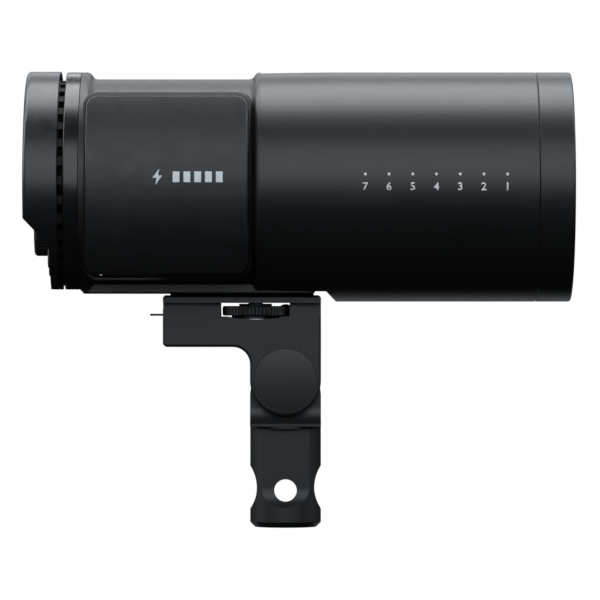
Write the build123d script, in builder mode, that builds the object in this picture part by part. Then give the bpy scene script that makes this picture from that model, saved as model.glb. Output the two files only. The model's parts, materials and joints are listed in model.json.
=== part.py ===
from build123d import *
import os
from math import cos, pi, radians, sin

# Battery-powered monolight strobe on its tilting stand bracket, in millimetres.
# Origin: centre of the stand socket's mouth. +Z is up, +X is the way the light shines,
# and -Y is the side that the battery slides out of. Heights called "rel" are measured
# from the head's own axis.

os.makedirs("parts", exist_ok=True)

# ---------------------------------------------------------------- driving dimensions
AXIS_Z = 148.2  # height of the head's axis
TUBE_R = 50.0  # the 100 mm collar that light shapers clamp on
WALL = 2.0
GAP = 0.3  # between pieces that move past each other

TUBE_X = (-11.0, 109.0)
FRONT_X = 124.2  # front face of the front ring
NECK_R = 47.0
NECK_X = (-88.5, -11.0)
RING_X = (-95.2, -88.8)  # trim ring behind the neck
CAP_X = (-112.4, -97.9)  # rear cap with the controls
CAP_R = 50.3
FLAT = 44.7  # rel height of the flat under the ring and the cap
BASE_X = (-88.0, 12.8)
BASE_Z = (-46.6, -42.6)  # rel heights of the base plate
BASE_HALF = 20.0

# Both side panels share one outline and one curved face.
PANEL_X = (-85.4, -16.0)
PANEL_HALF = 38.3
PANEL_CROWN = 54.0
PANEL_ARC = 66.0
PANEL_CORNER = 5.0
BATTERY_BACK = 13.0
CELL_R = 8.95
CELL_LENGTH = 65.0

# Bracket
PIVOT_Z = 64.1
LEG_HALF = 15.4
ARM_HALF = 16.0
ARM_BACK = -53.2
ARM_Z = (78.5, 91.7)
PLATE_TOP = 101.0
PAD_TOP = AXIS_Z + BASE_Z[0]
WHEEL_X = -13.1
WHEEL_R = 14.4
WHEEL_Z = (92.1, 96.3)
WHEEL_RIBS = 56
SLOT_X = (-28.2, 1.8)
UMBRELLA_R = 4.25
UMBRELLA_Z = 85.1
EAR_INNER = 12.6
TONGUE_HALF = 11.4
TONGUE_R = 14.6
CAP_DISC_R = 13.7
BOLT_R = 4.0

# Stand socket
SOCKET_TOP = 45.2
SOCKET_R = 8.05
SOCKET_DEPTH = 38.0
FLAT_Y = 12.0  # the milled flats on the turned bar
CROSS_Z = 16.1
CROSS_R = 4.9
KNOB_Z = 31.0
LOCK_SCREW_R = 3.95

# Controls
LOWER_X = -101.2  # recessed lower half of the rear face
DIAL_REL = -18.1
DIAL_R = 12.0
DIAL_X = (-109.4, -102.2)
BUTTON_R = 4.0
BUTTON_PLACES = ((-30.5, -31.5), (-20.0, -35.0), (20.0, -35.0), (30.5, -31.5))
BUTTON_NAMES = ("power_button", "test_button", "model_button", "menu_button")

HEAD_AXIS = Axis((0, 0, AXIS_Z), (1, 0, 0))
SIDE = Plane((0, 0, AXIS_Z), x_dir=(1, 0, 0), z_dir=(0, -1, 0))  # local x = X, y = rel


def across(x):
    """Plane across the head at x: local x is Y, local y is the rel height."""
    return Plane((x, 0, AXIS_Z), x_dir=(0, 1, 0), z_dir=(1, 0, 0))


def side_at(y):
    """Upright plane facing the battery side, in world X and Z."""
    return Plane((0, y, 0), x_dir=(1, 0, 0), z_dir=(0, -1, 0))


def level(z):
    return Plane.XY.offset(z)


def upright(x, y, z):
    """Level plane with its own origin at the point."""
    return Plane((x, y, z), x_dir=(1, 0, 0), z_dir=(0, 0, 1))


def save(piece, label):
    piece.part.label = label
    export_step(piece.part, f"parts/{label}.step")


def flatted_circle(radius, flat):
    """Circle with its underside cut off at -flat."""
    Circle(radius)
    if flat < radius:
        with Locations((0, -flat - radius)):
            Rectangle(4 * radius, 2 * radius, mode=Mode.SUBTRACT)


def tube_run(x0, x1, radius, flat, mode=Mode.ADD):
    with BuildSketch(across(x0)) as profile:
        flatted_circle(radius, flat)
    extrude(profile.sketch, amount=x1 - x0, mode=mode)


def turned(points):
    """Closed profile in (x, radius), turned about the head's axis."""
    with BuildSketch(SIDE) as profile:
        with BuildLine():
            Polyline(*points, close=True)
        make_face()
    revolve(profile.sketch, axis=HEAD_AXIS)


def box_cut(x, y, z):
    """Removes the block between the three (low, high) pairs."""
    with Locations(((x[0] + x[1]) / 2, (y[0] + y[1]) / 2, (z[0] + z[1]) / 2)):
        Box(x[1] - x[0], y[1] - y[0], z[1] - z[0], mode=Mode.SUBTRACT)


def insert_hole():
    """Way through the shells' floor for the threaded insert of the base plate."""
    with BuildSketch(upright(WHEEL_X, 0, AXIS_Z - 50)) as hole:
        Circle(INSERT_R + 0.4)
    extrude(hole.sketch, amount=12, mode=Mode.SUBTRACT)


def s_curve(start, end):
    """Two tangent arcs from start to end, level at both."""
    middle = ((start[0] + end[0]) / 2, (start[1] + end[1]) / 2)
    TangentArc(start, middle, tangent=(1, 0))
    TangentArc(end, middle, tangent=(-1, 0))


# ---------------------------------------------------------------- front
POCKET = BASE_HALF + 0.3
POCKET_Z = BASE_Z[1] + 0.1  # rel height of the roof over the base plate
UNDERCUT = 45.5
RELIEF_X = (17.8, 22.2)
INSERT_R = 6.0

COLLAR_X = 18.0  # rear end of the straight collar
TUBE_TAPER = 0.4

with BuildPart() as front_tube:
    # straight collar, with a slight taper behind it
    turned(
        [
            (TUBE_X[0], 0),
            (TUBE_X[0], TUBE_R - TUBE_TAPER),
            (COLLAR_X, TUBE_R),
            (TUBE_X[1], TUBE_R),
            (TUBE_X[1], 0),
        ]
    )
    with BuildSketch(SIDE):
        with BuildLine():
            Polyline(
                (TUBE_X[0] - 1, -UNDERCUT),
                (RELIEF_X[0], -UNDERCUT),
                (RELIEF_X[1], -TUBE_R - 0.2),
                (RELIEF_X[1], -TUBE_R - 2),
                (TUBE_X[0] - 1, -TUBE_R - 2),
                close=True,
            )
        make_face()
    extrude(amount=TUBE_R, both=True, mode=Mode.SUBTRACT)
    box_cut((TUBE_X[0] - 1, BASE_X[1] + 0.4), (-POCKET, POCKET), (AXIS_Z - 52, AXIS_Z + POCKET_Z))
    chamfer(front_tube.faces().sort_by(Axis.X)[-1].edges(), length=0.35)
    tube_run(TUBE_X[0], BASE_X[1] + WALL, TUBE_R - WALL, -POCKET_Z - WALL, Mode.SUBTRACT)
    tube_run(BASE_X[1] + WALL, RELIEF_X[1] + 1, TUBE_R - WALL, UNDERCUT - WALL, Mode.SUBTRACT)
    tube_run(RELIEF_X[1] + 1, TUBE_X[1], TUBE_R - WALL, TUBE_R, Mode.SUBTRACT)
    insert_hole()
save(front_tube, "front_tube")

GLASS_R = 46.0
GLASS_X = (117.2, 120.8)
LIP_R = 44.2
GASKET_X = GLASS_X[0] - 1.8

with BuildPart() as front_ring:
    turned(
        [
            (104.0, GLASS_R + 0.2),
            (104.0, TUBE_R - WALL - 0.1),
            (TUBE_X[1], TUBE_R - WALL - 0.1),
            (TUBE_X[1], TUBE_R - 0.35),
            (TUBE_X[1] + 0.35, TUBE_R),
            (FRONT_X, TUBE_R),
            (FRONT_X, LIP_R + 1.6),
            (FRONT_X - 1.6, LIP_R),
            (GLASS_X[1], LIP_R),
            (GLASS_X[1], GLASS_R + 0.2),
        ]
    )
    rim = front_ring.edges().filter_by(GeomType.CIRCLE).filter_by(lambda e: abs(e.radius - TUBE_R) < 0.01)
    fillet(rim.sort_by(Axis.X)[-1], radius=1.0)
save(front_ring, "front_ring")

with BuildPart() as front_glass:
    tube_run(*GLASS_X, GLASS_R, GLASS_R)
    chamfer(front_glass.edges(), length=0.5)
save(front_glass, "front_glass")

with BuildPart() as glass_gasket:
    tube_run(GASKET_X, GLASS_X[0], GLASS_R, GLASS_R)
    tube_run(GASKET_X, GLASS_X[0], GLASS_R - 2.4, GLASS_R, Mode.SUBTRACT)
save(glass_gasket, "glass_gasket")

BOWL_BACK = 77.0
BOWL_FLOOR_R = 25.0
with BuildPart() as inner_reflector:
    with BuildSketch(SIDE):
        with BuildLine():
            inner = ThreePointArc((GASKET_X, 43.8), (97.0, 37.5), (BOWL_BACK, BOWL_FLOOR_R))
            outer = ThreePointArc((GASKET_X - 1, 44.8), (96.4, 38.5), (BOWL_BACK, BOWL_FLOOR_R + 1.4))
            Line(outer @ 1, inner @ 1)
            Polyline(outer @ 0, (GASKET_X - 1, GLASS_R), (GASKET_X, GLASS_R), inner @ 0)
        make_face()
    revolve(axis=HEAD_AXIS)
save(inner_reflector, "inner_reflector")

LAMP_R = 19.0  # ring of the flash tube
LAMP_X = 88.0
LAMP_TUBE_R = 3.4
LAMP_GAP = 32.0  # degrees left open between the two ends
SEAT_X = (66.0, BOWL_BACK)
LED_R = 9.0


def lamp_ends():
    """Centres (y, rel) of the flash tube's two ends."""
    half = radians(LAMP_GAP / 2)
    return [(LAMP_R * sin(s * half), -LAMP_R * cos(half)) for s in (-1, 1)]


with BuildPart() as flash_tube:
    start = Plane(
        (LAMP_X, lamp_ends()[1][0], AXIS_Z + lamp_ends()[1][1]),
        x_dir=(1, 0, 0),
        z_dir=(0, cos(radians(LAMP_GAP / 2)), sin(radians(LAMP_GAP / 2))),
    )
    with BuildSketch(start):
        Circle(LAMP_TUBE_R)
    revolve(axis=HEAD_AXIS, revolution_arc=360 - LAMP_GAP)
    with Locations(*[(LAMP_X, y, AXIS_Z + rel) for y, rel in lamp_ends()]):
        Sphere(LAMP_TUBE_R)
    with BuildSketch(across(SEAT_X[1])):
        with Locations(*lamp_ends()):
            Circle(LAMP_TUBE_R)
    extrude(amount=LAMP_X - SEAT_X[1])
save(flash_tube, "flash_tube")

with BuildPart() as flash_tube_base:
    tube_run(*SEAT_X, BOWL_FLOOR_R - 0.1, BOWL_FLOOR_R)
    tube_run(SEAT_X[0], SEAT_X[1], LED_R + 1.5, BOWL_FLOOR_R, Mode.SUBTRACT)
    chamfer(flash_tube_base.faces().sort_by(Axis.X)[-1].outer_wire().edges(), length=0.6)
save(flash_tube_base, "flash_tube_base")

SINK_X = (54.0, 66.0)
LED_X = 82.0
BULKHEAD = 3.0
CORE_R = 10.0
FINS = 16
FIN_SIZE = (25.0, 1.6)
FIN_MIDDLE_R = 21.5
with BuildPart() as led_heat_sink:
    tube_run(SINK_X[1] - BULKHEAD, SINK_X[1], TUBE_R - WALL - 0.1, TUBE_R)
    tube_run(SINK_X[0], SINK_X[1], CORE_R, CORE_R)
    tube_run(SINK_X[1], LED_X, LED_R + 1.2, LED_R + 1.2)
    with BuildSketch(across(SINK_X[0])):
        with PolarLocations(FIN_MIDDLE_R, FINS):
            Rectangle(FIN_SIZE[0], FIN_SIZE[1])
    extrude(amount=SINK_X[1] - SINK_X[0] - BULKHEAD)
save(led_heat_sink, "led_heat_sink")

with BuildPart() as modelling_led:
    tube_run(LED_X, LED_X + 1.2, LED_R, LED_R)
    chamfer(modelling_led.faces().sort_by(Axis.X)[-1].edges(), length=0.4)
save(modelling_led, "modelling_led")

CAPACITOR_R = 16.6
CAPACITOR_PITCH = 34.6
CAPACITOR_X = (-7.9, 44.0)
BOARD = 1.6  # thickness of a circuit board
with BuildPart() as capacitor_bank:
    with BuildSketch(across(CAPACITOR_X[0])):
        with GridLocations(CAPACITOR_PITCH, CAPACITOR_PITCH, 2, 2):
            Circle(CAPACITOR_R)
    extrude(amount=CAPACITOR_X[1] - CAPACITOR_X[0])
    fillet(capacitor_bank.edges(), radius=1.2)
save(capacitor_bank, "capacitor_bank")

with BuildPart() as capacitor_board:
    tube_run(CAPACITOR_X[0] - BOARD, CAPACITOR_X[0], TUBE_R - WALL - 0.1, 36.0)
    with BuildSketch(across(CAPACITOR_X[0] - BOARD)):
        with GridLocations(80, 0, 2, 1):
            Circle(1.6)
    extrude(amount=BOARD, mode=Mode.SUBTRACT)
save(capacitor_board, "capacitor_board")

# ---------------------------------------------------------------- neck and side panels
FRAME_HALF = 41.5  # rel height of the raised frame at its root
FRAME_X = (-88.4, -13.0)
FRAME_ROOT = 20.0
FRAME_TAPER = 5.0
FRAME_SINK = 1.9  # the frame stands this much lower than the panel's face


def panel_arc(radius, sign):
    """Solid under the panels' curved face, a cylinder lying along X, as a private object."""
    centre_y = sign * (PANEL_CROWN - PANEL_ARC)
    rod = Cylinder(radius, 200, rotation=(0, 90, 0), mode=Mode.PRIVATE)
    return Pos(-50, centre_y, AXIS_Z) * rod


def side_plane(y, sign):
    """Plane at |Y| = y facing outwards, sign -1 on the battery side and +1 on the far one."""
    return Plane((0, sign * y, AXIS_Z), x_dir=(-sign, 0, 0), z_dir=(0, sign, 0))


def raised_frame(sign):
    """Tapered pad that rises out of the neck around a side panel."""
    with BuildPart(mode=Mode.PRIVATE) as pad:
        with BuildSketch(side_plane(FRAME_ROOT, sign)):
            with Locations((-sign * (FRAME_X[0] + FRAME_X[1]) / 2, 0)):
                RectangleRounded(FRAME_X[1] - FRAME_X[0], 2 * FRAME_HALF, PANEL_CORNER + 3)
        extrude(amount=PANEL_CROWN - FRAME_ROOT, taper=FRAME_TAPER)
    return pad.part & panel_arc(PANEL_ARC - FRAME_SINK, sign)


frames = [raised_frame(sign) for sign in (-1, 1)]

# Oval release pads in the frame's upper and lower walls, two in each.
PAD_XS = [(PANEL_X[0] + PANEL_X[1]) / 2 + s * 23.2 for s in (-1, 1)]
PAD_Y = 27.0
PAD_SIZE = (4.2, 2.2)
PAD_REL = (39.3, 40.7)

REAR_BLEND_X = (-86.5, -81.7)  # the neck's surface falls from the ring's size to its own
FRONT_BLEND_X = -15.9
with BuildPart() as neck_shell:
    with BuildSketch(SIDE):
        with BuildLine():
            Polyline(
                (REAR_BLEND_X[0], TUBE_R),
                (NECK_X[0], TUBE_R),
                (NECK_X[0], 0),
                (NECK_X[1], 0),
                (NECK_X[1], TUBE_R),
            )
            s_curve((REAR_BLEND_X[0], TUBE_R), (REAR_BLEND_X[1], NECK_R))
            Line((REAR_BLEND_X[1], NECK_R), (FRONT_BLEND_X, NECK_R))
            s_curve((FRONT_BLEND_X, NECK_R), (NECK_X[1], TUBE_R))
        make_face()
    revolve(axis=HEAD_AXIS)
    for frame in frames:
        add(frame)
    box_cut((-95, -5), (-60, 60), (AXIS_Z - 60, AXIS_Z - UNDERCUT))
    box_cut((-95, -5), (-POCKET, POCKET), (AXIS_Z - 60, AXIS_Z + POCKET_Z))
    tube_run(NECK_X[0], NECK_X[1], NECK_R - WALL, -POCKET_Z - WALL, Mode.SUBTRACT)
    for sign in (-1, 1):
        with BuildSketch(side_plane(10, sign)):
            with Locations((-sign * (PANEL_X[0] + PANEL_X[1]) / 2, 0)):
                RectangleRounded(
                    PANEL_X[1] - PANEL_X[0] + 2 * GAP, 2 * (PANEL_HALF + GAP), PANEL_CORNER + GAP
                )
        extrude(amount=50, mode=Mode.SUBTRACT)
    insert_hole()
    with BuildSketch(level(AXIS_Z - FRAME_HALF)):
        with Locations(*[(x, -PAD_Y) for x in PAD_XS]):
            SlotOverall(PAD_SIZE[0] + 0.6, PAD_SIZE[1] + 0.6)
    extrude(amount=2 * FRAME_HALF, mode=Mode.SUBTRACT)
save(neck_shell, "neck_shell")


def release_pads(rel):
    with BuildSketch(level(AXIS_Z + rel)) as ovals:
        with Locations(*[(x, -PAD_Y) for x in PAD_XS]):
            SlotOverall(*PAD_SIZE)
    extrude(ovals.sketch, amount=PAD_REL[1] - PAD_REL[0])


with BuildPart() as release_pads_top:
    release_pads(PAD_REL[0])
save(release_pads_top, "release_pads_top")

with BuildPart() as release_pads_bottom:
    release_pads(-PAD_REL[1])
save(release_pads_bottom, "release_pads_bottom")


def panel_block(sign, back, inset):
    """Closed block under the curved face from |Y| = back outwards, smaller by inset."""
    with BuildPart(mode=Mode.PRIVATE) as block:
        with BuildSketch(side_plane(back, sign)):
            with Locations((-sign * (PANEL_X[0] + PANEL_X[1]) / 2, 0)):
                RectangleRounded(
                    PANEL_X[1] - PANEL_X[0] - 2 * inset,
                    2 * (PANEL_HALF - inset),
                    PANEL_CORNER if inset == 0 else PANEL_CORNER - 3,
                )
        extrude(amount=PANEL_CROWN + 5 - back)
    return block.part & panel_arc(PANEL_ARC - inset, sign)


def outer_edges(piece):
    """Edges of the curved outer face."""
    return piece.faces().filter_by(GeomType.CYLINDER).sort_by(lambda f: f.area)[-1].edges()


CASE_SPLIT = 34.0  # |Y| where the battery's cover meets its tub
CASE_WALL = 1.5

with BuildPart() as battery_cover:
    add(panel_block(-1, CASE_SPLIT, 0))
    fillet(outer_edges(battery_cover), radius=0.8)
    add(panel_block(-1, CASE_SPLIT, CASE_WALL), mode=Mode.SUBTRACT)
save(battery_cover, "battery_cover")

with BuildPart() as battery_tub:
    add(panel_block(-1, BATTERY_BACK, 0))
    box_cut((-95, -5), (-60, -CASE_SPLIT), (AXIS_Z - 50, AXIS_Z + 50))
    add(
        panel_block(-1, BATTERY_BACK + CASE_WALL, CASE_WALL),
        mode=Mode.SUBTRACT,
    )
    chamfer(battery_tub.faces().sort_by(Axis.Y)[-1].edges(), length=0.8)
save(battery_tub, "battery_tub")

CELL_ROWS = (
    (BATTERY_BACK + CASE_WALL + CELL_R + 0.2, (-27.0, -9.0, 9.0, 27.0)),
    (BATTERY_BACK + CASE_WALL + CELL_R + 16.1, (-18.0, 0.0, 18.0)),
)
with BuildPart() as battery_cells:
    for depth, heights in CELL_ROWS:
        with BuildSketch(across(-83.2)):
            with Locations(*[(-depth, rel) for rel in heights]):
                Circle(CELL_R)
        extrude(amount=CELL_LENGTH)
save(battery_cells, "battery_cells")

CONTACT_RELS = (-9.0, -3.0, 3.0, 9.0)
CONTACT_X = -24.0
CONTACT = (8.0, 0.4, 3.0)
CONTACT_BLOCK = (13.0, 21.6, 28.0)
CONTACT_PIN = (5.0, 2.0, 1.6)
with BuildPart() as battery_contacts:
    for rel in CONTACT_RELS:
        with Locations((CONTACT_X, -BATTERY_BACK + 0.2, AXIS_Z + rel)):
            Box(*CONTACT)
save(battery_contacts, "battery_contacts")

with BuildPart() as contact_block:
    with Locations((CONTACT_X, 0.4, AXIS_Z)):
        Box(*CONTACT_BLOCK)
    fillet(contact_block.edges().filter_by(Axis.Y), radius=1.5)
    for rel in CONTACT_RELS:
        with Locations((CONTACT_X, -11.3, AXIS_Z + rel)):
            Box(*CONTACT_PIN)
save(contact_block, "contact_block")

with BuildPart() as side_cover:
    add(panel_block(1, 30.0, 0))
    fillet(outer_edges(side_cover), radius=0.8)
    add(panel_block(1, 28.0, WALL), mode=Mode.SUBTRACT)
save(side_cover, "side_cover")

# ---------------------------------------------------------------- inside the neck
BOARD_THICK = 1.6
BOARD_SIZE = (64.0, 74.0)
BOARD_X = -50.0
BOARD_Y = 12.0
BOARD_HOLE_R = 1.6
with BuildPart() as power_board:
    with Locations((BOARD_X, BOARD_Y, AXIS_Z)):
        Box(BOARD_SIZE[0], BOARD_THICK, BOARD_SIZE[1])
    with BuildSketch(side_at(BOARD_Y + 1)):
        with Locations((BOARD_X, AXIS_Z)):
            with GridLocations(BOARD_SIZE[0] - 8, BOARD_SIZE[1] - 8, 2, 2):
                Circle(BOARD_HOLE_R)
    extrude(amount=4, mode=Mode.SUBTRACT)
save(power_board, "power_board")

BOARD_FACE = BOARD_Y + BOARD_THICK / 2
WINDING = (26.0, 20.0, 24.0)
CORE = (30.0, 12.0, 16.0)
with BuildPart() as flash_transformer:
    with Locations((BOARD_X + 10, BOARD_FACE + WINDING[1] / 2, AXIS_Z - 16)):
        Box(*WINDING)
    fillet(flash_transformer.edges().filter_by(Axis.Y), radius=3.0)
    with Locations((BOARD_X + 10, BOARD_FACE + WINDING[1] / 2, AXIS_Z - 16)):
        Box(*CORE)
save(flash_transformer, "flash_transformer")

SINK = (44.0, 3.0, 26.0)
SINK_FIN = (1.4, 10.0, 26.0)
with BuildPart() as switch_heat_sink:
    with Locations((BOARD_X, BOARD_FACE + SINK[1] / 2, AXIS_Z + 18)):
        Box(*SINK)
    with Locations((BOARD_X, BOARD_FACE + SINK[1] + SINK_FIN[1] / 2, AXIS_Z + 18)):
        with GridLocations(5.2, 0, 9, 1):
            Box(*SINK_FIN)
save(switch_heat_sink, "switch_heat_sink")

# ---------------------------------------------------------------- base plate
SCREW_X = (-82.0, -60.0, 6.0)
SCREW_Y = 14.0
SHAFT_HOLE_R = 1.6
with BuildPart() as base_plate:
    with BuildSketch(level(AXIS_Z + BASE_Z[0])):
        with Locations(((BASE_X[0] + BASE_X[1]) / 2, 0)):
            RectangleRounded(BASE_X[1] - BASE_X[0], 2 * BASE_HALF, 3.0)
    extrude(amount=BASE_Z[1] - BASE_Z[0])
    chamfer(base_plate.faces().sort_by(Axis.Z)[0].outer_wire().edges(), length=0.7)
    with Locations((WHEEL_X, 0, AXIS_Z + BASE_Z[0])):
        Cylinder(INSERT_R, 20, mode=Mode.SUBTRACT)
    for x in SCREW_X:
        with Locations((x, 0, 0)):
            with Locations((0, -SCREW_Y, AXIS_Z + BASE_Z[0]), (0, SCREW_Y, AXIS_Z + BASE_Z[0])):
                Cone(3.2, 1.5, 1.7, align=(Align.CENTER, Align.CENTER, Align.MIN), mode=Mode.SUBTRACT)
                Cylinder(SHAFT_HOLE_R, 20, mode=Mode.SUBTRACT)
save(base_plate, "base_plate")

with BuildPart() as base_screws:
    for x in SCREW_X:
        with Locations(*[(x, y, AXIS_Z + BASE_Z[0] + 0.1) for y in (-SCREW_Y, SCREW_Y)]):
            Cone(2.9, 1.4, 1.6, align=(Align.CENTER, Align.CENTER, Align.MIN))
            Cylinder(SHAFT_HOLE_R - 0.2, 3.8, align=(Align.CENTER, Align.CENTER, Align.MIN))
            Cylinder(1.0, 0.8, align=(Align.CENTER, Align.CENTER, Align.MIN), mode=Mode.SUBTRACT)
save(base_screws, "base_screws")

THREAD_R = 3.25
with BuildPart() as thread_insert:
    with BuildSketch(upright(WHEEL_X, 0, PAD_TOP)):
        Circle(INSERT_R)
        Circle(THREAD_R, mode=Mode.SUBTRACT)
    extrude(amount=8.0)
    chamfer(thread_insert.faces().sort_by(Axis.Z)[0].inner_wires().edges(), length=0.5)
save(thread_insert, "thread_insert")


# ---------------------------------------------------------------- rear
SPACER_R = 46.4
SPACER_WALL = 3.2
SPACER_X = (-98.6, NECK_X[0] - 0.1)
VENT_X = (-97.7, -95.4)
VENTS = 32
with BuildPart() as vent_spacer:
    tube_run(*SPACER_X, SPACER_R, FLAT - 1.6)
    tube_run(*SPACER_X, SPACER_R - SPACER_WALL, FLAT - 4.0, Mode.SUBTRACT)
    with BuildSketch(across(VENT_X[0])):
        with PolarLocations(SPACER_R, VENTS, start_angle=-75, angular_range=330):
            Rectangle(9.0, 4.6)
    extrude(amount=VENT_X[1] - VENT_X[0], mode=Mode.SUBTRACT)
save(vent_spacer, "vent_spacer")

with BuildPart() as rear_ring:
    tube_run(*RING_X, TUBE_R, FLAT)
    fillet(rear_ring.faces().sort_by(Axis.X)[0].edges().filter_by(GeomType.CIRCLE), radius=0.8)
    tube_run(*RING_X, SPACER_R + 0.1, FLAT - 1.5, Mode.SUBTRACT)
save(rear_ring, "rear_ring")

SHELF = [(CAP_X[0], -14.3), (-107.9, -19.0), (-103.4, -24.2), (LOWER_X, -27.0)]
CAP_WALL = 2.4
DISPLAY = (52.0, 30.0)
DISPLAY_REL = 17.0
DISPLAY_DEPTH = 1.2
DIAL_POCKET_R = DIAL_R + 0.9
SHAFT_R = 3.0
JACK_PLACE = (-8.0, -36.8)
JACK_R = 1.8
JACK_HOLE_R = 3.2
USB_PLACE = (8.0, -36.8)
USB_SIZE = (9.0, 3.2)

with BuildPart(mode=Mode.PRIVATE) as cap_cavity:
    tube_run(CAP_X[0] + CAP_WALL, CAP_X[1], CAP_R - 2.6, FLAT - 1.5)
    with BuildSketch(SIDE):
        with BuildLine():
            Polyline(
                (CAP_X[1], 60),
                (CAP_X[0], 60),
                *[(x + CAP_WALL, rel + 1.0) for x, rel in SHELF],
                (LOWER_X + CAP_WALL, -60),
                (CAP_X[1], -60),
                close=True,
            )
        make_face()
    extrude(amount=60, both=True, mode=Mode.INTERSECT)

with BuildPart(mode=Mode.PRIVATE) as dial_well:
    with BuildSketch(across(CAP_X[0])):
        with Locations((0, DIAL_REL)):
            Circle(DIAL_POCKET_R + 1.6)
    extrude(amount=LOWER_X + CAP_WALL - CAP_X[0])
    with BuildSketch(SIDE):
        with BuildLine():
            Polyline((CAP_X[0], 20), *SHELF, (LOWER_X, -55), (CAP_X[1], -55), (CAP_X[1], 20), close=True)
        make_face()
    extrude(amount=60, both=True, mode=Mode.INTERSECT)

with BuildPart() as rear_cap:
    tube_run(*CAP_X, CAP_R, FLAT)
    fillet(rear_cap.faces().sort_by(Axis.X)[0].edges().filter_by(GeomType.CIRCLE), radius=1.8)
    with BuildSketch(SIDE):
        with BuildLine():
            Polyline((CAP_X[0] - 1, SHELF[0][1]), *SHELF, (LOWER_X, -55), (CAP_X[0] - 1, -55), close=True)
        make_face()
    extrude(amount=60, both=True, mode=Mode.SUBTRACT)
    add(cap_cavity.part, mode=Mode.SUBTRACT)
    # window for the display, with a ledge that the glass sits on
    with BuildSketch(across(CAP_X[0])):
        with Locations((0, DISPLAY_REL)):
            RectangleRounded(*DISPLAY, 3.0)
    extrude(amount=DISPLAY_DEPTH, mode=Mode.SUBTRACT)
    with BuildSketch(across(CAP_X[0])):
        with Locations((0, DISPLAY_REL)):
            RectangleRounded(DISPLAY[0] - 6, DISPLAY[1] - 6, 1.5)
    extrude(amount=CAP_WALL + 1, mode=Mode.SUBTRACT)
    # well round the dial: its wall first, then the space inside it
    add(dial_well.part)
    with BuildSketch(across(CAP_X[0] - 1)):
        with Locations((0, DIAL_REL)):
            Circle(DIAL_POCKET_R)
    extrude(amount=LOWER_X - CAP_X[0] + 1, mode=Mode.SUBTRACT)
    with BuildSketch(across(LOWER_X - 1)):
        with Locations((0, DIAL_REL)):
            Circle(SHAFT_R + 0.3)
        with Locations(*BUTTON_PLACES):
            Circle(BUTTON_R + GAP)
        with Locations(JACK_PLACE):
            Circle(JACK_HOLE_R)
        with Locations(USB_PLACE):
            RectangleRounded(USB_SIZE[0] + 1.2, USB_SIZE[1] + 1.2, 1.6)
    extrude(amount=CAP_WALL + 2, mode=Mode.SUBTRACT)
save(rear_cap, "rear_cap")

with BuildPart() as display_window:
    with BuildSketch(across(CAP_X[0] + 0.1)):
        with Locations((0, DISPLAY_REL)):
            RectangleRounded(DISPLAY[0] - 0.2, DISPLAY[1] - 0.2, 2.9)
    extrude(amount=DISPLAY_DEPTH - 0.1)
    chamfer(display_window.faces().sort_by(Axis.X)[0].edges(), length=0.25)
save(display_window, "display_window")

LCD_X = CAP_X[0] + CAP_WALL
with BuildPart() as lcd_module:
    with BuildSketch(across(LCD_X)):
        with Locations((0, DISPLAY_REL)):
            RectangleRounded(DISPLAY[0] - 1, DISPLAY[1] - 1, 1.0)
    extrude(amount=3.0)
save(lcd_module, "lcd_module")

CONTROL_BOARD_X = (-102.6, -101.0)
with BuildPart() as control_board:
    tube_run(*CONTROL_BOARD_X, CAP_R - 4.0, -1.0)
    with BuildSketch(across(CONTROL_BOARD_X[0])):
        with Locations((-34, 6), (34, 6)):
            Circle(1.6)
    extrude(amount=2, mode=Mode.SUBTRACT)
save(control_board, "control_board")

ENCODER = (13.0, 12.0)
ENCODER_DEEP = 6.0
with BuildPart() as dial_encoder:
    with BuildSketch(across(LOWER_X + CAP_WALL)):
        with Locations((0, DIAL_REL)):
            RectangleRounded(*ENCODER, 1.0)
            Circle(SHAFT_R + 0.3, mode=Mode.SUBTRACT)
    extrude(amount=ENCODER_DEEP)
    with BuildSketch(across(LOWER_X + CAP_WALL + ENCODER_DEEP)):
        with Locations((0, DIAL_REL)):
            RectangleRounded(*ENCODER, 1.0)
    extrude(amount=1.2)
save(dial_encoder, "dial_encoder")

with BuildPart() as dial_shaft:
    with BuildSketch(across(DIAL_X[0] + 2.5)):
        with Locations((0, DIAL_REL)):
            Circle(SHAFT_R)
    extrude(amount=LOWER_X + CAP_WALL + 5.2 - DIAL_X[0] - 2.5)
save(dial_shaft, "dial_shaft")

DIAL_SOCKET_X = DIAL_X[0] + 2.3
KNURL_X = DIAL_X[0] + 2.2
with BuildPart() as control_dial:
    with BuildSketch(across(DIAL_X[0])):
        with Locations((0, DIAL_REL)):
            Circle(DIAL_R)
    extrude(amount=DIAL_X[1] - DIAL_X[0])
    fillet(control_dial.faces().sort_by(Axis.X)[0].edges(), radius=1.5)
    with BuildSketch(across(KNURL_X)):
        with Locations((0, DIAL_REL)):
            with PolarLocations(DIAL_R + 0.35, 40):
                Circle(0.6)
    extrude(amount=DIAL_X[1] - DIAL_X[0], mode=Mode.SUBTRACT)
    with BuildSketch(across(DIAL_X[0] - 0.1)):
        with Locations((0, DIAL_REL)):
            Circle(DIAL_R - 3.5)
            Circle(DIAL_R - 4.0, mode=Mode.SUBTRACT)
    extrude(amount=0.4, mode=Mode.SUBTRACT)
    with BuildSketch(across(DIAL_SOCKET_X)):
        with Locations((0, DIAL_REL)):
            Circle(SHAFT_R + 0.05)
    extrude(amount=10, mode=Mode.SUBTRACT)
save(control_dial, "control_dial")

BUTTON_TRAVEL = 0.8
BUTTON_PROUD = 1.0
for name, place in zip(BUTTON_NAMES, BUTTON_PLACES):
    with BuildPart() as button:
        with BuildSketch(across(LOWER_X - BUTTON_PROUD)):
            with Locations(place):
                Circle(BUTTON_R)
        extrude(amount=BUTTON_PROUD + CAP_WALL - BUTTON_TRAVEL)
        fillet(button.faces().sort_by(Axis.X)[0].edges(), radius=0.5)
    save(button, name)

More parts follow.
